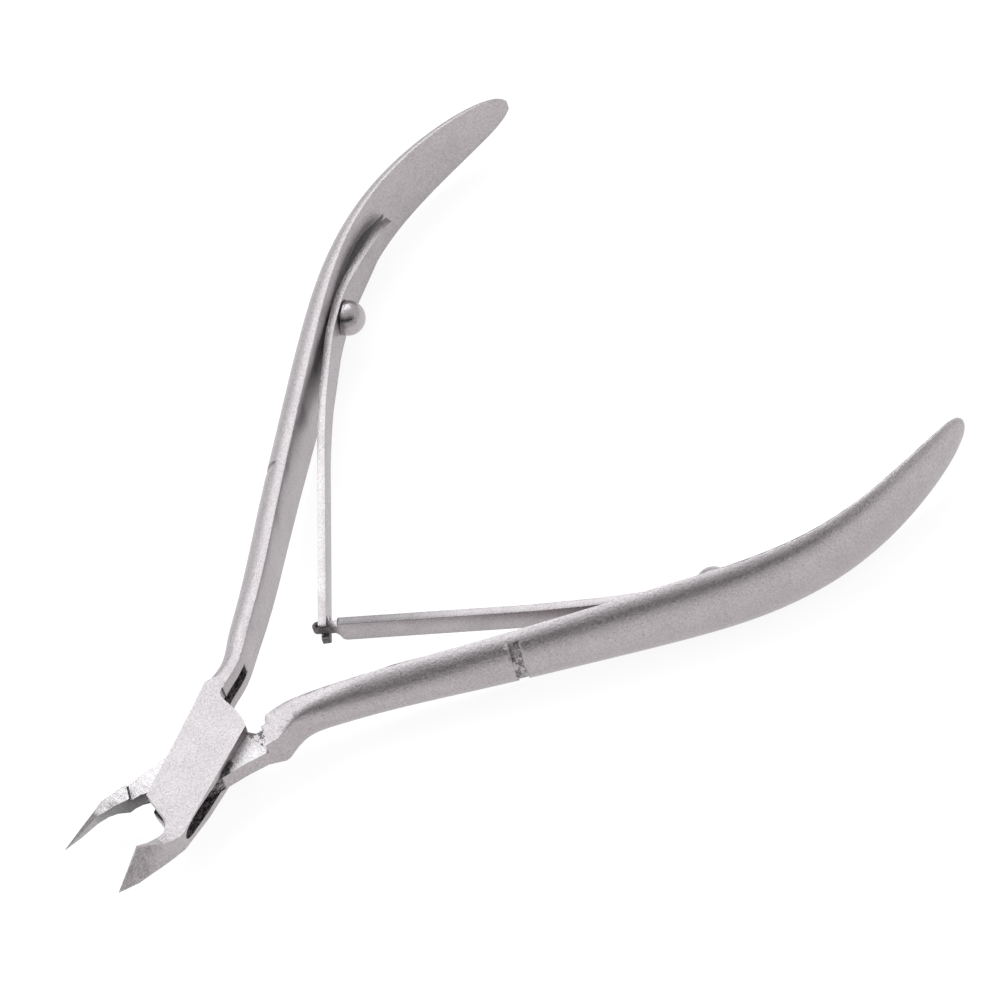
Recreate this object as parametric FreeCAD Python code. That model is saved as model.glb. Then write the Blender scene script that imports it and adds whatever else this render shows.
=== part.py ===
"""Cuticle nipper with a box joint, drawn open.  Units are mm.

Frame: the pivot axis is the Z axis, Z = 0 is the flat rear face of the joint, +X runs from the
jaws to the handles and +Y is the side of the forked lever's handle.
"""
import math
import os

import FreeCAD
import Part

# joint
JOINT_T = 4.8           # thickness over the joint
WEB_T = 1.2             # rear web of the forked lever
PLATE_T = 1.3           # front plate of the forked lever
SIDE_GAP = 0.04         # running gap of the tongue, each face
PIN_R = 1.5             # pivot pin
PIN_GAP = 0.04          # running fit of the pin in the tongue
PIN_COVER = 0.6         # plate left in front of the pin

# jaws
HEEL = (-12.2, 3.18, 2.9)    # rear end of a cutting edge, on the +Y side
TIP = (-16.9, 4.41, 0.4)     # front end of a cutting edge
TIP_FLAT = 0.06              # width left at the very tip

# handles
MID_Z = JOINT_T / 2
EDGE_FLAT = 0.25        # flat beside the inner face, along the front and rear edges
NOTCH_X = 32.5          # where the shallow mark crosses the outside of a handle
NOTCH_W = 1.2
NOTCH_DEPTH = 0.16
NOTCH_H = 7.45          # height of the handle at the mark

# spring
LEAF_T = 0.9
LEAF_W = 3.2            # at the tip
LEAF_ROOT_W = 4.6       # at the rivet
RIVET_X = 51.55         # station of the spring rivets along the handle
RIVET_R = 0.8
RIVET_HEAD_R = 2.05
RIVET_RIM = 0.35        # straight part of the head, under the dome
RIVET_DOME = 1.95
RIVET_DEPTH = 2.0       # shank in the handle
LEAF_GAP = 0.2          # leaf to handle at the rivet
HEAD_GAP = 0.2          # leaf to rivet head, room for the leaf to rock
FORK_Z = 0.5            # height of the fork's middle over the leaf's middle
FORK_SLOT = 1.6         # height of the slot in the forked leaf
HOOK_W = 1.2            # height of the hooked leaf's neck
CURL_W = 0.75           # height of the rolled end

# x, y of the inner face, height in Z, thickness, for both handles from the grip outwards
GRIP = [
    (18, 8.33, 5.8, 2.9), (28, 15.2, 6.9, 3.0), (38, 22.1, 8.2, 3.0), (48, 28.8, 9.4, 3.0),
    (56, 33.65, 9.8, 2.7), (64, 36.75, 9.6, 2.2), (72, 37.75, 8.9, 1.8), (77, 37.65, 7.9, 1.5),
    (81, 37.25, 6.3, 1.3), (83.5, 36.85, 4.4, 1.1), (84.8, 36.6, 2.4, 0.8), (85.2, 36.5, 1.2, 0.5),
]
# the same with the flat at the front and rear edges as a fifth value, where each handle leaves the joint
ROOT_FORKED = [
    (7.6, 2.95, 4.8, 2.45, 2.1), (9.2, 3.5, 4.8, 2.6, 1.0), (11.2, 4.2, 4.8, 2.6, 0.5),
    (14, 5.85, 5.2, 2.75, 0.5),
]
ROOT_TONGUE = [
    (7.2, 3.25, 4.8, 3.6, 3.5), (8.6, 3.5, 4.8, 3.5, 3.2), (10.6, 3.95, 4.8, 3.15, 2.4),
    (13, 5.1, 5.0, 2.95, 1.35), (16, 7.0, 5.5, 2.9, 0.7),
]


def vec(x, y, z=0.0):
    return FreeCAD.Vector(x, y, z)


def prism(points, z0, z1):
    wire = Part.makePolygon([vec(x, y, z0) for x, y in points + points[:1]])
    return Part.Face(wire).extrude(vec(0, 0, z1 - z0))


def mirrored(shape):
    return shape.mirror(vec(0, 0), vec(0, 1, 0))


def inner_curve(stations):
    curve = Part.BSplineCurve()
    curve.interpolate([vec(s[0], s[1], MID_Z) for s in stations])
    return curve


def local_axes(curve, x, y):
    """Point on the inner face with its outward normal, in the plan."""
    u = curve.parameter(vec(x, y, MID_Z))
    along = vec(*curve.tangent(u)[0])
    return curve.value(u), vec(-along.y, along.x, 0)


def d_section(point, out, height, thick, flat):
    """Section of a handle: flat inside, two narrow flats and a rounded outside."""
    def at(n, z):
        return point + out * n + vec(0, 0, z)

    half = height / 2
    bulge = thick - flat
    side = [at(flat + bulge * math.sin(a), half * math.cos(a))
            for a in (math.radians(d) for d in (0, 30, 60, 90, 120, 150, 180))]
    arc = Part.BSplineCurve()
    arc.interpolate(side)
    low, high = at(0, -half), at(0, half)
    return Part.Wire([
        Part.makeLine(low, high),
        Part.makeLine(high, side[0]),
        arc.toShape(),
        Part.makeLine(side[-1], low),
    ])


def handle(root):
    stations = root + [s + (min(EDGE_FLAT, s[3] * 0.4),) for s in GRIP]
    curve = inner_curve(stations)
    wires = []
    for x, y, height, thick, flat in stations:
        point, out = local_axes(curve, x, y)
        wires.append(d_section(point, out, height, thick, flat))
    solid = Part.makeLoft(wires, True, False)
    return solid.cut(notch(curve)), curve


def notch(curve):
    """Tool for the shallow mark across the rounded outside."""
    y = curve_y(curve, NOTCH_X)
    point, out = local_axes(curve, NOTCH_X, y)
    along = vec(out.y, -out.x, 0)
    start = point - along * (NOTCH_W / 2)
    core = Part.Face(d_section(start, out, NOTCH_H - 2 * NOTCH_DEPTH, 3.0 - NOTCH_DEPTH, EDGE_FLAT))
    core = core.extrude(along * NOTCH_W)
    ring = Part.Wire(Part.makePolygon([
        start + out * 1.3 + vec(0, 0, -9), start + out * 1.3 + vec(0, 0, 9),
        start + out * 9 + vec(0, 0, 9), start + out * 9 + vec(0, 0, -9),
        start + out * 1.3 + vec(0, 0, -9),
    ]))
    return Part.Face(ring).extrude(along * NOTCH_W).cut(core)


def curve_y(curve, x):
    plane = Part.Plane(vec(x, 0, MID_Z), vec(1, 0, 0))
    hits = curve.intersect(plane)[0]
    return hits[0].Y


def quad_loft(sections):
    """Jaw from sections (x, four (y, z) corners), ruled so that its ground faces stay crisp."""
    wires = []
    for x, corners in sections:
        points = [vec(x, y, z) for y, z in corners]
        wires.append(Part.makePolygon(points + points[:1]))
    return Part.makeLoft(wires, True, True)


def tip_section(side):
    x, y, z = TIP
    return (x, [(side * y, z + TIP_FLAT), (side * (y + TIP_FLAT), z + TIP_FLAT),
                (side * (y + TIP_FLAT), z), (side * y, z)])


def forked_jaw():
    hx, hy, hz = HEEL
    return quad_loft([
        (-8.3, [(-4.5, 4.8), (-7.4, 4.8), (-6.05, 0), (-3.3, 0)]),
        (-8.9, [(-5.05, 4.8), (-7.4, 4.8), (-5.97, 0), (-3.75, 0)]),
        (-9.7, [(-5.5, 4.7), (-7.0, 4.7), (-5.9, 0), (-4.1, 0)]),
        (-10.5, [(-5.2, 4.4), (-6.35, 4.4), (-5.8, 0), (-4.25, 0)]),
        (-11.4, [(-4.4, 3.75), (-4.9, 3.8), (-5.65, 0), (-4.3, 0)]),
        (hx, [(-hy, hz), (-3.45, 2.98), (-5.5, 0), (-4.35, 0)]),
        (-14.5, [(-3.78, 1.68), (-3.93, 1.74), (-5.12, 0), (-4.4, 0)]),
        tip_section(-1),
    ])


def tongue_jaw():
    hx, hy, hz = HEEL
    web = WEB_T + SIDE_GAP
    return quad_loft([
        (-6.2, [(0.2, 4.2), (2.9, 4.2), (2.9, web), (0.2, web)]),
        (-7.6, [(0.95, 4.2), (2.85, 4.2), (3.2, web), (1.2, web)]),
        (-8.4, [(1.1, 4.2), (2.95, 4.2), (3.75, web), (1.5, web)]),
        (-9.1, [(1.2, 4.2), (3.05, 4.2), (4.3, 0.4), (1.8, 0.95)]),
        (-10.0, [(1.75, 3.95), (3.4, 3.95), (4.9, 0.2), (3.1, 0.5)]),
        (-10.9, [(2.3, 3.55), (3.85, 3.5), (5.2, 0), (3.75, 0.3)]),
        (hx, [(hy, hz), (4.3, 2.3), (5.3, 0), (4.2, 0.1)]),
        (-14.5, [(3.78, 1.68), (4.46, 1.3), (4.95, 0), (4.35, 0.05)]),
        tip_section(1),
    ])


PLATE = [
    (8.7, 3.5), (8.3, 3.3), (7.5, 3.1), (7.0, 2.8), (6.72, 2.3),
    (6.62, 1.7), (6.6, 1.0), (6.45, -0.6), (6.1, -2.0), (5.75, -2.7), (1.4, -4.15), (-3.6, -5.75),
    (-8.3, -7.4), (-8.3, -4.5), (-7.5, -0.4), (-3.0, 1.25), (3.1, 3.65), (6.9, 5.2), (7.6, 5.0),
    (8.2, 4.65),
]


def slot_tool():
    """Room for the tongue: a through slot with a rounded end, open to the jaws on the +Y side."""
    z0, z1 = WEB_T, JOINT_T - PLATE_T
    wall = prism([(-7.55, -9), (-7.55, 3), (4.2, 7.5), (5.0, 3.4), (6.2, 2.2), (9, 1.5), (9, -9)],
                 z0, z1)
    ends = [e for e in wall.Edges if abs(e.CenterOfMass.x + 7.55) < 0.01
            and abs(e.Vertexes[0].Z - e.Vertexes[-1].Z) < 0.01]
    mouth = prism([(-9, -3.2), (-9, 3), (-6, 3), (-6, -3.2)], z0, z1)
    return [wall.makeFillet(0.95, ends), mouth, slot_end()]


def slot_end():
    """The slot rises to a rounded end toward the jaw, where its cutter ran out."""
    side = [(-6.9, 1.25), (-7.5, 1.55), (-7.8, 2.1), (-7.9, 2.75), (-7.8, 3.4), (-7.5, 3.95), (-7.0, 4.3),
            (-6.2, 4.4), (-5.2, 4.35), (0, 3.5), (0, 1.25)]
    points = [vec(x, -9, z) for x, z in side]
    return Part.Face(Part.makePolygon(points + points[:1])).extrude(vec(0, 5.4, 0))


def crotch_pocket():
    """As-forged hollow in the inner wall where the handle starts."""
    tool = prism([(6.2, 2.0), (7.6, 3.75), (9.5, 4.2), (11.4, 5.05), (11.9, 4.1), (9, 1.5)],
                 1.35, 3.05)
    ends = [e for e in tool.Edges if e.CenterOfMass.x > 11.2
            and abs(e.Vertexes[0].Z - e.Vertexes[-1].Z) < 0.01]
    return tool.makeFillet(0.7, ends)


def side_lean():
    """Takes the rear of the joint's jaw-side flank back, as the flank leans under from its front edge."""
    z1 = JOINT_T + 0.01
    low = [(6.5, -2.45), (1.4, -4.15), (-3.6, -5.75), (-8.3, -7.4)]
    under = [(6.5, -2.3), (1.4, -3.75), (-3.6, -5.15), (-8.3, -6.05)]
    faces = []
    for (a, b), (c, d) in zip(zip(low, low[1:]), zip(under, under[1:])):
        top = Part.makePolygon([vec(*a, z1), vec(*b, z1), vec(b[0], -12, z1), vec(a[0], -12, z1),
                                vec(*a, z1)])
        base = Part.makePolygon([vec(*c, -0.01), vec(*d, -0.01), vec(d[0], -12, -0.01),
                                 vec(c[0], -12, -0.01), vec(*c, -0.01)])
        faces.append(Part.makeLoft([base, top], True, True))
    return faces


def lever_forked():
    grip, curve = handle(ROOT_FORKED)
    body = prism(PLATE, 0, JOINT_T)
    for tool in side_lean():
        body = body.cut(tool)
    body = body.fuse([grip, forked_jaw()])
    body = body.cut(slot_tool())
    body = body.cut(crotch_pocket())
    body = body.cut(Part.makeCylinder(PIN_R, JOINT_T - PIN_COVER))
    return body.cut(rivet_hole(curve)).removeSplitter()


TONGUE = [
    (8.4, -3.65), (7.4, -3.75), (6.2, -3.6), (5.6, -2.4), (4.9, 0.6),
    (3.6, 2.3), (1.2, 2.7), (-1.3, 2.3), (-3.3, 2.45), (-6.2, 2.9), (-6.2, 0.2), (-5.4, -1.6),
    (-3.7, -3.5), (-1.4, -4.4), (2.6, -5.45), (5.2, -6.35), (6.9, -6.85), (8.0, -6.5),
]


def front_recess():
    """Everything of the tongue lever in front of the lap face, between its two steps."""
    z0 = JOINT_T - PLATE_T - SIDE_GAP
    return prism([(7.78, -3.75), (5.3, -6.45), (3.0, -9), (-6, -9), (-10.1, -0.8), (-8.95, 1.05),
                  (-7.55, 3.25), (-6.6, 4.7), (5, 8), (9.6, -1.8)], z0, 9)


def rear_recess():
    """Clearance for the rear web, run out by a cone."""
    z1 = WEB_T + SIDE_GAP
    return Part.makeCone(10.2, 8.0, z1 + 0.02, vec(0, 0, -0.02))


def lever_tongue():
    grip, curve = handle(ROOT_TONGUE)
    body = prism(TONGUE, 0, JOINT_T).fuse(mirrored(grip))
    body = body.cut(rear_recess())
    body = body.fuse(tongue_jaw())
    body = body.cut(front_recess())
    body = body.cut(Part.makeCylinder(PIN_R + PIN_GAP, JOINT_T))
    return body.cut(mirrored(rivet_hole(curve))).removeSplitter()


def pivot_pin():
    pin = Part.makeCylinder(PIN_R, JOINT_T - PIN_COVER)
    rims = [e for e in pin.Edges if e.Closed and e.Vertexes[0].Z < 0.1]
    return pin.makeChamfer(0.08, rims)


def rivet_axes(curve):
    return local_axes(curve, RIVET_X, curve_y(curve, RIVET_X))


def rivet_hole(curve):
    point, out = rivet_axes(curve)
    return Part.makeCylinder(RIVET_R, RIVET_DEPTH + 1, point - out, out)


def spring_rivet(curve):
    """Domed rivet holding a leaf to the inner face of a handle."""
    point, out = rivet_axes(curve)
    under = LEAF_GAP + LEAF_T + HEAD_GAP
    shank = Part.makeCylinder(RIVET_R, RIVET_DEPTH + under, point - out * under, out)
    seat = point - out * under
    rim = Part.makeCylinder(RIVET_HEAD_R, RIVET_RIM, seat, out * -1)
    ball_r = (RIVET_HEAD_R ** 2 + RIVET_DOME ** 2) / (2 * RIVET_DOME)
    top = seat - out * RIVET_RIM
    ball = Part.makeSphere(ball_r, top + out * (ball_r - RIVET_DOME))
    dome = ball.common(Part.makeCylinder(RIVET_HEAD_R, RIVET_DOME, top, out * -1))
    return shank.fuse([rim, dome]).removeSplitter()


# middle of each leaf in the plan, from its tail to the joint of the two leaves, on the +Y side
FORKED_PATH = [
    (65.4, 36.0), (61.9, 34.8), (58.8, 33.65), (55.7, 32.45), (53.2, 31.33), (51.2, 30.1),
    (49.2, 28.75), (46.4, 26.5), (43.2, 23.8), (39.4, 20.25), (34.1, 14.8), (24.0, 4.25),
]
HOOKED_PATH = [
    (65.3, 36.1), (61.4, 34.9), (58.6, 33.85), (55.6, 32.58), (53.2, 31.35), (51.2, 30.1),
    (49.2, 28.75), (46.2, 26.2), (42.9, 23.0), (39.3, 19.2), (34.8, 14.3), (27.2, 5.95),
]
FORKED_END = (20.9, 0.9)
HOOKED_END = (20.9, -0.9)


def ribbon(points, thick, z0, z1):
    """Strip of even thickness along a smooth line in the plan."""
    line = Part.BSplineCurve()
    line.interpolate([vec(x, y, z0) for x, y in points])
    sides = []
    for sign in (1, -1):
        offset = []
        for x, y in points:
            t = vec(*line.tangent(line.parameter(vec(x, y, z0)))[0])
            offset.append(vec(x, y, z0) + vec(-t.y, t.x, 0) * (sign * thick / 2))
        side = Part.BSplineCurve()
        side.interpolate(offset)
        sides.append((side, offset))
    (a, pa), (b, pb) = sides
    wire = Part.Wire([a.toShape(), Part.makeLine(pa[-1], pb[-1]), b.toShape(),
                      Part.makeLine(pb[0], pa[0])])
    return Part.Face(wire).extrude(vec(0, 0, z1 - z0))


def leaf_outline():
    """Side view of a leaf: wide at the rivet, with a rounded tail and a narrow tip."""
    root, tip = LEAF_ROOT_W / 2, LEAF_W / 2
    half = [(10, tip), (37, tip), (49, root), (55.5, root), (58.5, 1.95), (61.8, 1.4), (64.0, 0.8),
            (65.0, 0.2)]
    points = [vec(x, -5, MID_Z + z) for x, z in half + [(x, -z) for x, z in reversed(half)]]
    return Part.Face(Part.makePolygon(points + points[:1])).extrude(vec(0, 50, 0))


def leaf_blank(path, end):
    strip = ribbon(path + [(end.x, end.y)], LEAF_T, MID_Z - LEAF_ROOT_W, MID_Z + LEAF_ROOT_W)
    return strip.common(leaf_outline())


def leaf_hole(curve):
    point, out = rivet_axes(curve)
    return Part.makeCylinder(RIVET_R + 0.2, 6, point - out * 4, out)


def end_axes(path, end):
    """Joint of the leaves, direction of a leaf's last stretch and the direction across it."""
    along = vec(end[0] - path[-1][0], end[1] - path[-1][1]).normalize()
    return vec(*end), along, vec(-along.y, along.x)


def leaf_tool(axes, outline):
    """Tool through a leaf's end, from (distance past the joint, height over the fork's middle)."""
    end, along, side = axes
    points = [end + along * s + vec(0, 0, MID_Z + FORK_Z + z) - side * 2 for s, z in outline]
    return Part.Face(Part.makePolygon(points + points[:1])).extrude(side * 4)


def leaf_forked(curve):
    axes = end_axes(FORKED_PATH, FORKED_END)
    leaf = leaf_blank(FORKED_PATH, axes[0] + axes[1] * 0.95)
    h, low = FORK_SLOT / 2, -FORK_Z - LEAF_W / 2
    slot = leaf_tool(axes, [(2, h), (-0.9, h), (-1.2, h - 0.3), (-1.2, 0.3 - h), (-0.9, -h), (2, -h)])
    upper = leaf_tool(axes, [(0.4, 0), (2, 0), (2, 3), (0.3, 3)])
    lower = leaf_tool(axes, [(0.6, -3), (0.6, low), (0.95, low + 0.3), (2, -1), (2, -3)])
    return leaf.cut(slot).cut(upper).cut(lower).cut(leaf_hole(curve))


def leaf_hooked(curve):
    """Necked down and rolled into a hook that passes through the fork of the other leaf."""
    axes = end_axes(HOOKED_PATH, HOOKED_END)
    end, along, side = axes
    leaf = leaf_blank(HOOKED_PATH, end + along * 0.6)
    top, low, h = LEAF_W / 2 - FORK_Z, -FORK_Z - LEAF_W / 2, HOOK_W / 2
    above = [(-1.9, 3), (-1.9, top), (-1.7, top - 0.15), (-1.6, h), (2, h), (2, 3)]
    below = [(-2.3, -3), (-2.3, low), (-1.9, low + 0.2), (-1.65, -h - 0.5), (-1.3, -h), (2, -h), (2, -3)]
    leaf = leaf.cut([leaf_tool(axes, above), leaf_tool(axes, below)])
    roll = end + along * 0.6 - side * 0.15 + vec(0, 0, MID_Z + FORK_Z + h - CURL_W)
    curl = Part.makeCylinder(0.6, CURL_W, roll)
    bore = Part.makeCylinder(0.25, LEAF_W, roll - vec(0, 0, 1))
    return mirrored(leaf.fuse(curl).cut(bore).cut(leaf_hole(curve)))


def main():
    os.makedirs("parts", exist_ok=True)
    stations = ROOT_FORKED + [s + (EDGE_FLAT,) for s in GRIP]
    curve = inner_curve(stations)
    curve_b = inner_curve(ROOT_TONGUE + [s + (EDGE_FLAT,) for s in GRIP])
    nodes = {
        "forked_lever": lever_forked(),
        "tongue_lever": lever_tongue(),
        "pivot_pin": pivot_pin(),
        "forked_leaf": leaf_forked(curve),
        "hooked_leaf": leaf_hooked(curve_b),
        "forked_leaf_rivet": spring_rivet(curve),
        "hooked_leaf_rivet": mirrored(spring_rivet(curve_b)),
    }
    for name, shape in nodes.items():
        solid = shape.Solids[0]
        print(name, solid.isValid(), len(shape.Solids), round(solid.Volume, 2))
        solid.exportStep("parts/%s.step" % name)


main()
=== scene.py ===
"""Looks of the cuticle nipper: satin steel levers and springs on a plain pale table, in soft light.

Lengths are in metres, except in the materials, which place their masks in millimetres.
"""
import math

import bmesh
import bpy
from mathutils import Matrix, Vector

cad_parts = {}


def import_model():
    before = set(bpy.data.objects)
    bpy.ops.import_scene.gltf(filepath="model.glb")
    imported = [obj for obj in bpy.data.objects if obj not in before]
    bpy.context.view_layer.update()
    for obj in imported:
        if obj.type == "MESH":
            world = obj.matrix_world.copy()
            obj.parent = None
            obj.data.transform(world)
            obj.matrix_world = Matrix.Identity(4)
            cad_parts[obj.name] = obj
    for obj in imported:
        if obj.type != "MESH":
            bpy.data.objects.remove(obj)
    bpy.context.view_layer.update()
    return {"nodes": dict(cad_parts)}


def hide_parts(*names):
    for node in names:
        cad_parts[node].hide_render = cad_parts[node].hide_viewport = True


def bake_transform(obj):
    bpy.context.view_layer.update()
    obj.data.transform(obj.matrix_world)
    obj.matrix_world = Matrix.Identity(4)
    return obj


MM_PER_M = 1000
MID_Z_MM = 2.4              # middle of the handles and leaves
WELD_DISTANCE = 0.000002
LEVER_EDGE_MM = 0.08        # rounding of the levers' edges
LEAF_EDGE = 0.00009
LEAF_CUTS = 56              # lengths a leaf is cut into so that it can bend
LEAF_ROOT = (0.0499, 0.0290, 0.0024)
LEAF_TIP = (0.0209, 0.0009, 0.0024)
# colour of painted shade and shadow on the steel
PAINTED_SHADE_STEEL = (0.08, 0.074, 0.077, 1)

TABLE_HALF = 3.0
TABLE_Z = -0.00251
TABLE_GLOW = 0.86
TENT_BRIGHT = 0.82
TENT_DARK = 0.03

CAMERA_AZ_EL_ROLL = (-118.77, 53.62, -19.37)
CAMERA_TARGET = (0.04552, -0.00244, 0.0024)
CAMERA_DISTANCE = 0.90231
CAMERA_LENS_MM = 290.2
CAMERA_SENSOR_MM = 36

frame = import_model()


# ---------------------------------------------------------------- shader building

class Shader:
    """A material's node tree, with short names for the nodes it is made of.  Positions are in mm."""

    def __init__(self, name, bends=False):
        self.material = bpy.data.materials.new(name)
        self.material.use_nodes = True
        self.tree = self.material.node_tree
        self.bsdf = self.tree.nodes["Principled BSDF"]
        if bends:
            source = self.node("ShaderNodeAttribute", attribute_name="rest_place").outputs["Vector"]
        else:
            source = self.node("ShaderNodeTexCoord").outputs["Object"]
        scale = self.node("ShaderNodeVectorMath", operation="SCALE")
        scale.inputs["Scale"].default_value = MM_PER_M
        self.link(source, scale.inputs[0])
        self.place = scale.outputs[0]
        split = self.node("ShaderNodeSeparateXYZ")
        self.link(self.place, split.inputs[0])
        self.x, self.y, self.z = split.outputs

    def node(self, kind, **settings):
        made = self.tree.nodes.new(kind)
        for key, value in settings.items():
            setattr(made, key, value)
        return made

    def link(self, out, socket):
        self.tree.links.new(out, socket)

    def put(self, socket, value):
        if isinstance(value, bpy.types.NodeSocket):
            self.link(value, socket)
        else:
            socket.default_value = value

    def math(self, operation, a, b=0.0, clamp=False):
        n = self.node("ShaderNodeMath", operation=operation, use_clamp=clamp)
        self.put(n.inputs[0], a)
        self.put(n.inputs[1], b)
        return n.outputs[0]

    def noise(self, scale, detail, rough, stretch=None, turn=0.0, offset=0.0):
        n = self.node("ShaderNodeTexNoise")
        n.inputs["Scale"].default_value = scale
        n.inputs["Detail"].default_value = detail
        n.inputs["Roughness"].default_value = rough
        source = self.place
        if stretch or offset:
            m = self.node("ShaderNodeMapping")
            m.inputs["Location"].default_value = (offset, offset, offset)
            m.inputs["Rotation"].default_value = (0, 0, math.radians(turn))
            m.inputs["Scale"].default_value = stretch or (1, 1, 1)
            self.link(source, m.inputs["Vector"])
            source = m.outputs[0]
        self.link(source, n.inputs["Vector"])
        return n.outputs["Fac"]

    def ramp(self, value, low, high, a=0.0, b=1.0):
        """value between low and high mapped smoothly to a ... b."""
        n = self.node("ShaderNodeMapRange", interpolation_type="SMOOTHSTEP")
        for socket, v in zip(n.inputs, (value, low, high, a, b)):
            self.put(socket, v)
        return n.outputs[0]

    def side(self, p, q, soft=0.15, wander=None):
        """1 on the left of the line from p to q in the plan, 0 on its right."""
        dx, dy = q[0] - p[0], q[1] - p[1]
        length = math.hypot(dx, dy)
        d = self.math("SUBTRACT", self.math("MULTIPLY", self.y, dx / length),
                      self.math("MULTIPLY", self.x, dy / length))
        d = self.math("SUBTRACT", d, (p[1] * dx - p[0] * dy) / length)
        if wander:
            d = self.math("ADD", d, wander)
        return self.ramp(d, -soft, soft)

    def groove(self, p, q, width):
        """Narrow strip of the plan along the line from p to q, ends left open."""
        dx, dy = q[0] - p[0], q[1] - p[1]
        length = math.hypot(dx, dy)
        nx, ny = -dy / length * width, dx / length * width
        right = self.side((q[0] + nx, q[1] + ny), (p[0] + nx, p[1] + ny), 0.05)
        left = self.side((p[0] - nx, p[1] - ny), (q[0] - nx, q[1] - ny), 0.05)
        return self.math("MULTIPLY", right, left)

    def area(self, corners, soft=0.15, wander=None):
        """Mask of a convex area of the plan, corners counterclockwise."""
        mask = None
        for p, q in zip(corners, corners[1:] + corners[:1]):
            one = self.side(p, q, soft, wander)
            mask = one if mask is None else self.math("MULTIPLY", mask, one)
        return mask

    def mix(self, factor, a, b):
        """Numbers a and b mixed by factor."""
        n = self.node("ShaderNodeMix", data_type="FLOAT")
        for socket, v in zip((n.inputs[0], n.inputs[2], n.inputs[3]), (factor, a, b)):
            self.put(socket, v)
        return n.outputs[0]

    def tint(self, value, low, high):
        """Colour from a number."""
        n = self.node("ShaderNodeMix", data_type="RGBA")
        n.inputs[6].default_value = (*low, 1)
        n.inputs[7].default_value = (*high, 1)
        self.put(n.inputs[0], value)
        return n.outputs[2]

    def blend_colour(self, factor, a, b):
        n = self.node("ShaderNodeMix", data_type="RGBA")
        self.put(n.inputs[0], factor)
        self.put(n.inputs[6], a)
        self.put(n.inputs[7], b)
        return n.outputs[2]

    def bump(self, height, depth_mm):
        n = self.node("ShaderNodeBump")
        n.inputs["Strength"].default_value = 1.0
        n.inputs["Distance"].default_value = depth_mm / MM_PER_M
        self.link(height, n.inputs["Height"])
        self.link(n.outputs[0], self.bsdf.inputs["Normal"])

    def facing(self):
        """x, y and z of the way the surface faces, in the object's own axes."""
        turn = self.node("ShaderNodeVectorTransform", vector_type="NORMAL", convert_from="WORLD",
                         convert_to="OBJECT")
        geometry = self.node("ShaderNodeNewGeometry")
        self.link(geometry.outputs["True Normal"], turn.inputs[0])
        n = self.node("ShaderNodeSeparateXYZ")
        self.link(turn.outputs[0], n.inputs[0])
        return n.outputs


def satin(name, tone=0.4, rough=0.32, grain=1.0, brushes=(), forged_and_shade=None, mottling=0.0, shade=None,
          polish_and_highlight=None, crust_and_shade_tones=(0.032, 0.4), bends=False):
    """Bead-blasted stainless steel: fine grain, faint clouds, brushed areas, and dark areas, partly forge
    scale and partly painted shade.

    brushes are (mask maker, direction in degrees, strength); forged makes the mask of the dark areas,
    shade that of painted shade and shadow, and polish that of painted highlights, partly on ground areas.
    """
    s = Shader(name, bends)
    blast = s.noise(4.2, 3, 0.65)
    fine = s.noise(9.0, 2, 0.5, offset=3.1)
    cloud = s.noise(0.3, 2, 0.5, offset=7.7)
    spots = s.ramp(s.noise(2.3, 4, 0.7, offset=1.3), 0.62, 0.78)
    value = s.math("ADD", s.math("MULTIPLY", s.math("SUBTRACT", blast, 0.5), 1.9 * grain), 0.5)
    value = s.math("ADD", value, s.math("MULTIPLY", s.math("SUBTRACT", fine, 0.5), 1.5 * grain))
    value = s.math("ADD", value, s.math("MULTIPLY", s.math("SUBTRACT", cloud, 0.5), 0.35 + mottling))
    value = s.math("SUBTRACT", value, s.math("MULTIPLY", spots, 0.25 * grain))
    height = s.math("ADD", blast, s.math("MULTIPLY", fine, 0.6))
    for maker, turn, strength in brushes:
        scratch = s.noise(1.0, 3, 0.7, stretch=(7.0, 0.55, 1.0), turn=turn, offset=0.4)
        scratch = s.math("MULTIPLY", s.math("SUBTRACT", scratch, 0.5), maker(s))
        value = s.math("ADD", value, s.math("MULTIPLY", scratch, 1.6 * strength))
        height = s.math("ADD", height, s.math("MULTIPLY", scratch, 2.2 * strength))
    value = s.math("MAXIMUM", s.math("MINIMUM", value, 1.0), 0.0)
    low, high = tone * 0.72, tone * 1.28
    colour = s.tint(value, (low * 1.06, low * 0.965, low * 1.0), (high * 1.05, high * 0.965, high * 0.985))
    roughness = s.math("ADD", s.math("MULTIPLY", s.math("SUBTRACT", blast, 0.5), 0.25), rough)
    # painted highlight: blends the colour toward a brighter one, partly on ground areas
    if polish_and_highlight:
        bright = s.tint(value, (tone * 1.15, tone * 1.08, tone * 1.1), (tone * 2.1, tone * 2.0, tone * 2.03))
        colour = s.blend_colour(polish_and_highlight(s), colour, bright)
    # painted shade and shadow: blends the colour toward a dark steel
    if shade:
        unshaded = s.math("SUBTRACT", 1.0, shade(s))
        colour = s.blend_colour(unshaded, PAINTED_SHADE_STEEL, colour)
    # dark areas: forge scale, partly painted shade in recesses and between parts
    if forged_and_shade:
        mask = forged_and_shade(s)
        crust = s.noise(2.6, 4, 0.75, offset=5.5)
        dark, light = crust_and_shade_tones
        crust_and_shade_colour = s.tint(s.ramp(crust, 0.38, 0.66), (dark, dark * 0.9, dark * 0.92),
                              (light, light * 0.92, light * 0.94))
        colour = s.blend_colour(mask, colour, crust_and_shade_colour)
        roughness = s.mix(mask, roughness, 0.55)
        height = s.mix(mask, height, s.math("MULTIPLY", crust, 9.0))
    s.link(colour, s.bsdf.inputs["Base Color"])
    s.link(roughness, s.bsdf.inputs["Roughness"])
    s.bsdf.inputs["Metallic"].default_value = 1
    s.bump(height, 0.055 * grain)
    return s.material


# ---------------------------------------------------------------- levers

def jaw_zone(s):
    """The ground jaw end of a lever."""
    return s.ramp(s.x, -6.5, -4.5, 1, 0)


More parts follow.
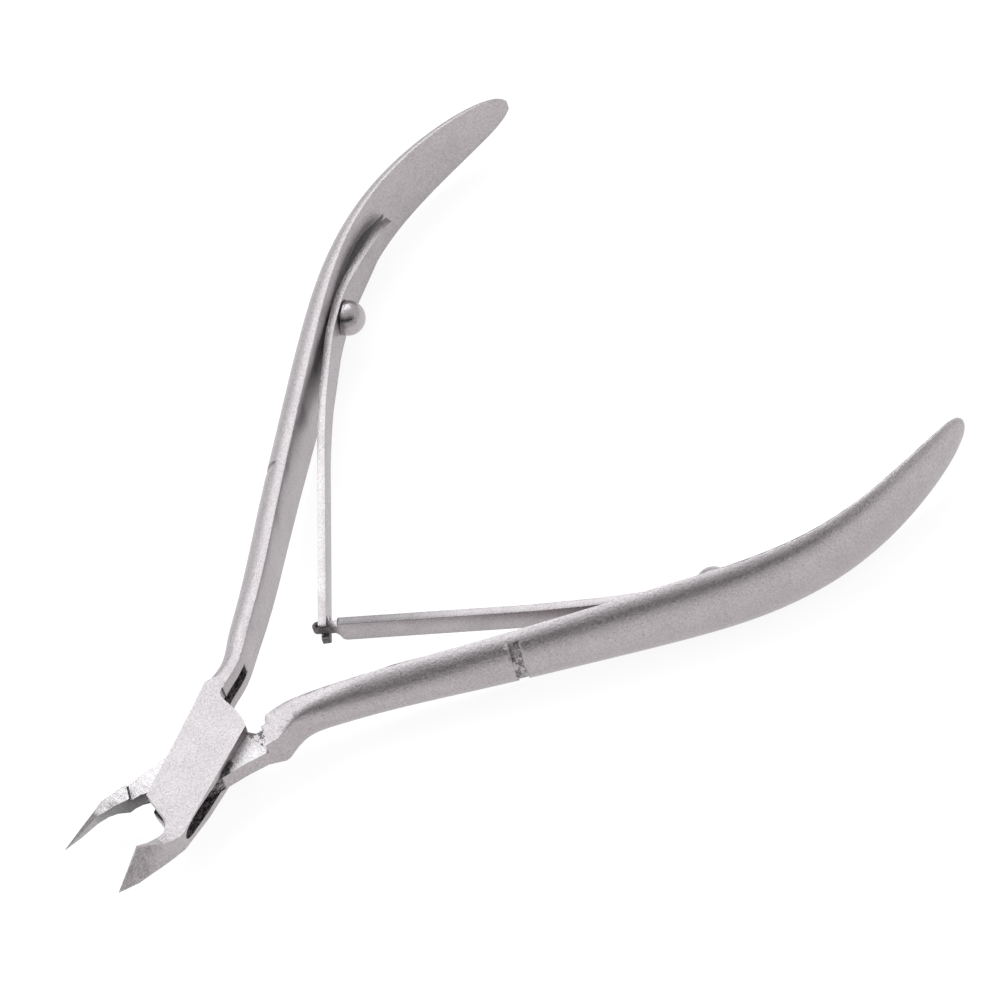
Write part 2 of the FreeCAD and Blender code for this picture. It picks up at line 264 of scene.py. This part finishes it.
def lap_zone(s):
    """The lap face beside the plate."""
    return s.math("MULTIPLY", s.ramp(s.x, -6.0, -5.0), s.ramp(s.x, 6.0, 7.5, 1, 0))


def slot_interior(s):
    """Inside the joint's slot, behind the flank's face, and the crotch pocket: dark forge scale, with
    painted shade in the slot between the levers.
    """
    nx, ny = s.facing()[:2]
    flank = s.math("SUBTRACT", s.math("MULTIPLY", nx, 0.336), s.math("MULTIPLY", ny, 0.942))
    inward = s.ramp(flank, 0.35, 0.7, 1, 0)
    height = s.math("MULTIPLY", s.ramp(s.z, 0.62, 0.68), s.ramp(s.z, 4.3, 4.36, 1, 0))
    low = s.ramp(s.z, 3.25, 3.4, 1, 0)
    rise = s.math("MAXIMUM", low, s.ramp(s.y, -3.4, -3.2, 1, 0))
    span = s.math("MULTIPLY", s.ramp(s.x, -7.7, -7.6), s.ramp(s.x, 5.2, 5.6, 1, 0))
    slot = s.math("MULTIPLY", s.math("MULTIPLY", inward, height), s.math("MULTIPLY", span, rise))
    pocket = s.area([(6.4, 1.6), (9.2, 1.7), (12.1, 4.2), (11.5, 5.2), (7.2, 4.0)], 0.08)
    depth = s.math("MULTIPLY", s.ramp(s.z, 1.2, 1.4), s.ramp(s.z, 3.0, 3.1, 1, 0))
    return s.math("MAXIMUM", slot, s.math("MULTIPLY", pocket, depth))


def leaf_shadow_strip(s):
    """Painted shadow: a dark strip of the forked lever's inner face under the leaf, a little wider than the
    leaf.
    """
    ny = s.facing()[1]
    half = s.math("ADD", s.ramp(s.x, 59.5, 65.3, 1.7, 0.2), s.ramp(s.x, 46.0, 50.0, 0.0, 0.2))
    across = s.math("ABSOLUTE", s.math("SUBTRACT", s.z, MID_Z_MM))
    inside = s.ramp(s.math("SUBTRACT", half, across), 0.0, 0.15)
    span = s.math("MULTIPLY", s.ramp(s.x, 40.0, 48.0, 0, 0.97), s.ramp(s.x, 64.8, 65.4, 1, 0))
    return s.math("MULTIPLY", s.math("MULTIPLY", inside, span), s.ramp(ny, -0.35, -0.2, 1, 0))


def lap_crust_and_shade(s):
    """Dark forge scale left on the tongue lever beside the plate and at the shoulder, with painted shade: a
    dark line along the shoulder step and dark faces down the slot.
    """
    wander = s.math("MULTIPLY", s.math("SUBTRACT", s.noise(1.6, 3, 0.6, offset=2.2), 0.5), 0.5)
    front = s.math("MULTIPLY", s.ramp(s.z, 3.35, 3.42), s.ramp(s.z, 3.5, 3.56, 1, 0))
    pocket = s.area([(-1.9, -4.9), (0.45, -5.05), (1.95, -4.25), (1.8, -3.3), (-1.9, -4.5)], 0.12, wander)
    corner = s.area([(5.55, -5.6), (6.9, -4.4), (7.2, -2.9), (5.5, -2.75)], 0.12, wander)
    torn = s.ramp(s.noise(2.2, 4, 0.7, offset=9.0), 0.5, 0.62, 0, 0.5)
    corner = s.math("MULTIPLY", corner, torn)
    dark_marks = s.math("MAXIMUM", pocket, corner)
    # painted shade: a dark line along the shoulder step
    step = s.groove((7.78, -3.75), (5.3, -6.45), 0.1)
    dark_marks = s.math("MAXIMUM", dark_marks, s.math("MULTIPLY", step, s.ramp(s.y, -3.2, -3.0, 1, 0)))
    notch = s.groove((-9.6, 0.0), (-7.55, 3.25), 0.14)
    dark_marks = s.math("MAXIMUM", dark_marks, s.math("MULTIPLY", notch, s.ramp(s.x, -7.3, -7.1, 1, 0)))
    dark_marks = s.math("MULTIPLY", front, dark_marks)
    band = s.groove((32.5, -18.3), (30.2, -21.6), 0.62)
    band = s.math("MULTIPLY", band, s.ramp(s.noise(2.0, 4, 0.7, offset=6.1), 0.48, 0.58, 0, 0.7))
    band = s.math("MULTIPLY", band, s.ramp(s.y, -19.6, -19.2, 1, 0))
    dark_marks = s.math("MAXIMUM", dark_marks, band)
    # painted shade: the tongue's faces inside the joint's slot, below the lap face
    deep = s.math("MULTIPLY", s.ramp(s.z, 3.3, 3.42, 1, 0), s.ramp(s.x, -7.3, -6.9))
    inside = s.area([(-8, -4.9), (-1.2, -4.9), (2.2, -4.2), (5.2, -1.8), (5.2, 3.2), (-8, 3.2)], 0.08)
    return s.math("MAXIMUM", dark_marks, s.math("MULTIPLY", deep, inside))


def fork_prong_shade(s):
    """Painted shade: the fork's lower prong made dark."""
    return s.math("MULTIPLY", s.ramp(s.x, 22.6, 22.9, 0.85, 0), s.ramp(s.z, 1.9, 2.1, 1, 0))


def hook_darkening(s):
    """Darker neck and roll of the hook."""
    return s.ramp(s.x, 21.2, 22.0, 0.8, 0)


def hook_shade(s):
    """Painted shade: the hooked leaf's top edge made darker toward its hook."""
    return s.math("MULTIPLY", s.ramp(s.x, 23, 36, 0.6, 0), s.ramp(s.z, 3.85, 3.95))


def tongue_shade(s):
    """Painted shade: a darker ground face of the jaw, and darker side walls of the jaw and lap."""
    nz = s.facing()[2]
    ground = s.math("MULTIPLY", s.ramp(s.x, -12.3, -12.1, 0.55, 0), s.ramp(nz, 0.5, 0.6))
    wall = s.math("MULTIPLY", s.ramp(s.x, -13.2, -11.0, 0.3, 0.9), s.ramp(nz, 0.35, 0.55, 1, 0))
    wall = s.math("MULTIPLY", wall, s.ramp(s.x, -5.0, -4.0, 1, 0))
    return s.math("MAXIMUM", ground, wall)


def tongue_ground_highlight(s):
    """Ground tops of the tongue lever's jaw and lap, with a painted highlight: a brighter colour on the
    faces that face up.
    """
    nz = s.facing()[2]
    span = s.math("MULTIPLY", s.ramp(s.x, -12.6, -12.0), s.ramp(s.x, 4.0, 6.8, 0.62, 0))
    return s.math("MULTIPLY", span, s.ramp(nz, 0.55, 0.7))


def leaf_top_highlight(s):
    """Painted highlight: a brighter colour on the forked leaf's top edges."""
    nz = s.facing()[2]
    return s.math("MULTIPLY", s.ramp(s.x, 22.8, 23.4), s.ramp(nz, 0.6, 0.8, 0, 0.35))


def everywhere(s):
    return 1.0


def round_edges(obj):
    """Rounds a lever's sharp edges with modifiers that leave its own mesh alone."""
    weld = obj.modifiers.new("weld", "WELD")
    weld.merge_threshold = WELD_DISTANCE
    bevel = obj.modifiers.new("rounding", "BEVEL")
    bevel.width = LEVER_EDGE_MM / MM_PER_M
    bevel.segments = 2
    bevel.limit_method = "ANGLE"
    bevel.angle_limit = math.radians(32)
    bevel.harden_normals = True
    bevel.use_clamp_overlap = True


def dress(node, material):
    """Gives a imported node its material."""
    obj = frame["nodes"][node]
    obj.data.materials.clear()
    obj.data.materials.append(material)
    return obj


forked_steel = satin("forked_lever_steel", brushes=[(jaw_zone, 20, 0.35)], forged_and_shade=slot_interior,
                     shade=leaf_shadow_strip)
tongue_steel = satin("tongue_lever_steel", brushes=[(jaw_zone, 62, 0.9), (lap_zone, 30, 0.5)],
                     forged_and_shade=lap_crust_and_shade, shade=tongue_shade, polish_and_highlight=tongue_ground_highlight)
forked_leaf_steel = satin("forked_leaf_steel", tone=0.37, rough=0.3, grain=0.8, mottling=0.35,
                          forged_and_shade=fork_prong_shade, crust_and_shade_tones=(0.06, 0.2), polish_and_highlight=leaf_top_highlight,
                          bends=True)
hooked_leaf_steel = satin("hooked_leaf_steel", tone=0.37, rough=0.3, grain=0.8, mottling=0.35,
                          forged_and_shade=hook_darkening, crust_and_shade_tones=(0.06, 0.2), shade=hook_shade,
                          bends=True)
rivet_steel = satin("rivet_steel", tone=0.4, rough=0.2, grain=0.5, mottling=0.3)
pin_steel = satin("pin_steel", tone=0.42, rough=0.24, grain=0.6, brushes=[(everywhere, 10, 0.5)])

round_edges(dress("forked_lever", forked_steel))
round_edges(dress("tongue_lever", tongue_steel))
dress("pivot_pin", pin_steel)
dress("forked_leaf_rivet", rivet_steel)
dress("hooked_leaf_rivet", rivet_steel)


# ---------------------------------------------------------------- leaves

def leaf(name, node, side, steel):
    """A leaf that can bend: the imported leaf's shape cut across into short lengths, with eased edges."""
    mirror = Vector((1, side, 1))
    root, tip = Vector(LEAF_ROOT) * mirror, Vector(LEAF_TIP) * mirror
    mesh = frame["nodes"][node].data.copy()
    work = bmesh.new()
    work.from_mesh(mesh)
    bmesh.ops.remove_doubles(work, verts=work.verts, dist=WELD_DISTANCE)
    bmesh.ops.dissolve_limit(work, angle_limit=math.radians(1.5), verts=work.verts, edges=work.edges)
    along = (root - tip).normalized()
    length = (root - tip).length
    for i in range(-1, LEAF_CUTS + 1):
        geom = list(work.verts) + list(work.edges) + list(work.faces)
        cut = tip + along * (length * i / LEAF_CUTS)
        bmesh.ops.bisect_plane(work, geom=geom, dist=0.0000002, plane_co=cut, plane_no=along)
    sharp = [e for e in work.edges if len(e.link_faces) == 2 and e.calc_face_angle(0) > math.radians(40)]
    bmesh.ops.bevel(work, geom=sharp, offset=LEAF_EDGE, segments=2, profile=0.5, affect="EDGES",
                    clamp_overlap=True)
    bmesh.ops.triangulate(work, faces=[f for f in work.faces if len(f.verts) > 4])
    for f in work.faces:
        f.smooth = True
    work.to_mesh(mesh)
    work.free()
    mesh.set_sharp_from_angle(angle=math.radians(38))
    rest = mesh.attributes.new("rest_place", "FLOAT_VECTOR", "POINT")
    for vertex, place in zip(mesh.vertices, rest.data):
        place.vector = vertex.co
    obj = bpy.data.objects.new(name, mesh)
    bpy.context.scene.collection.objects.link(obj)
    mesh.materials.clear()
    mesh.materials.append(steel)
    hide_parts(node)
    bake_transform(obj)
    return obj


leaf("forked_leaf_spring", "forked_leaf", 1, forked_leaf_steel)
leaf("hooked_leaf_spring", "hooked_leaf", -1, hooked_leaf_steel)


# ---------------------------------------------------------------- stage, light and camera

def floor_material():
    s = Shader("table_white")
    tone = s.noise(0.02, 2, 0.5)
    s.link(s.tint(tone, (0.24, 0.24, 0.24), (0.26, 0.26, 0.26)), s.bsdf.inputs["Base Color"])
    s.bsdf.inputs["Roughness"].default_value = 0.9
    s.bsdf.inputs["Specular IOR Level"].default_value = 0.1
    s.bsdf.inputs["Emission Color"].default_value = (1, 1, 1, 1)
    s.bsdf.inputs["Emission Strength"].default_value = TABLE_GLOW
    return s.material


def floor():
    half, z = TABLE_HALF, TABLE_Z
    mesh = bpy.data.meshes.new("table")
    mesh.from_pydata([(-half, -half, z), (half, -half, z), (half, half, z), (-half, half, z)], [],
                     [(0, 1, 2, 3)])
    mesh.materials.append(floor_material())
    obj = bpy.data.objects.new("table", mesh)
    bpy.context.scene.collection.objects.link(obj)


def softbox(name, direction, distance, size, radiance):
    """Area light aimed at the middle of the nipper."""
    d = Vector(direction).normalized()
    data = bpy.data.lights.new(name, "AREA")
    data.shape = "RECTANGLE"
    data.size, data.size_y = size
    data.color = (0.94, 0.99, 1.0)
    data.energy = radiance * math.pi * size[0] * size[1]
    obj = bpy.data.objects.new(name, data)
    bpy.context.scene.collection.objects.link(obj)
    obj.location = Vector((0.045, 0.0, 0.0)) + d * distance
    obj.rotation_euler = d.to_track_quat("Z", "Y").to_euler()


def world():
    """A white tent all round, with one dark band where the photographer stands."""
    w = bpy.data.worlds.new("studio")
    bpy.context.scene.world = w
    w.use_nodes = True
    tree = w.node_tree
    coord = tree.nodes.new("ShaderNodeTexCoord")
    split = tree.nodes.new("ShaderNodeSeparateXYZ")
    tree.links.new(coord.outputs["Generated"], split.inputs[0])

    def ramp(value, low, high, a, b):
        n = tree.nodes.new("ShaderNodeMapRange")
        n.interpolation_type = "SMOOTHSTEP"
        tree.links.new(value, n.inputs[0])
        for socket, v in zip(list(n.inputs)[1:], (low, high, a, b)):
            socket.default_value = v
        return n.outputs[0]

    def product(a, b):
        n = tree.nodes.new("ShaderNodeMath")
        n.operation = "MULTIPLY"
        tree.links.new(a, n.inputs[0])
        tree.links.new(b, n.inputs[1])
        return n.outputs[0]

    x, y, z = split.outputs
    band = product(ramp(z, 0.3, 0.46, 0, 1), ramp(z, 0.66, 1.0, 1, 0))
    dark = product(product(band, ramp(y, -0.15, 0.1, 1, 0)), ramp(x, 0.05, 0.4, 1, 0))
    strength = tree.nodes.new("ShaderNodeMapRange")
    tree.links.new(dark, strength.inputs[0])
    strength.inputs[3].default_value = TENT_BRIGHT
    strength.inputs[4].default_value = TENT_DARK
    back = tree.nodes["Background"]
    back.inputs[0].default_value = (0.97, 0.99, 1, 1)
    tree.links.new(strength.outputs[0], back.inputs[1])


def camera():
    az, el, roll = map(math.radians, CAMERA_AZ_EL_ROLL)
    away = Vector((math.cos(az) * math.cos(el), math.sin(az) * math.cos(el), math.sin(el)))
    right = (-away).cross(Vector((0, 0, 1))).normalized()
    up = right.cross(-away)
    data = bpy.data.cameras.new("camera")
    data.sensor_width = CAMERA_SENSOR_MM
    data.lens = CAMERA_LENS_MM
    data.clip_start = 0.01
    data.clip_end = 20
    obj = bpy.data.objects.new("camera", data)
    bpy.context.scene.collection.objects.link(obj)
    turned_right = math.cos(roll) * right + math.sin(roll) * up
    turned_up = math.cos(roll) * up - math.sin(roll) * right
    place = Matrix((turned_right, turned_up, away)).transposed().to_4x4()
    place.translation = Vector(CAMERA_TARGET) + away * CAMERA_DISTANCE
    obj.matrix_world = place
    bpy.context.scene.camera = obj


camera()
floor()
world()
softbox("softbox_back", (0.12, 0.62, 0.74), 0.9, (1.6, 0.72), 1.65)
bpy.context.scene.view_settings.view_transform = "Standard"
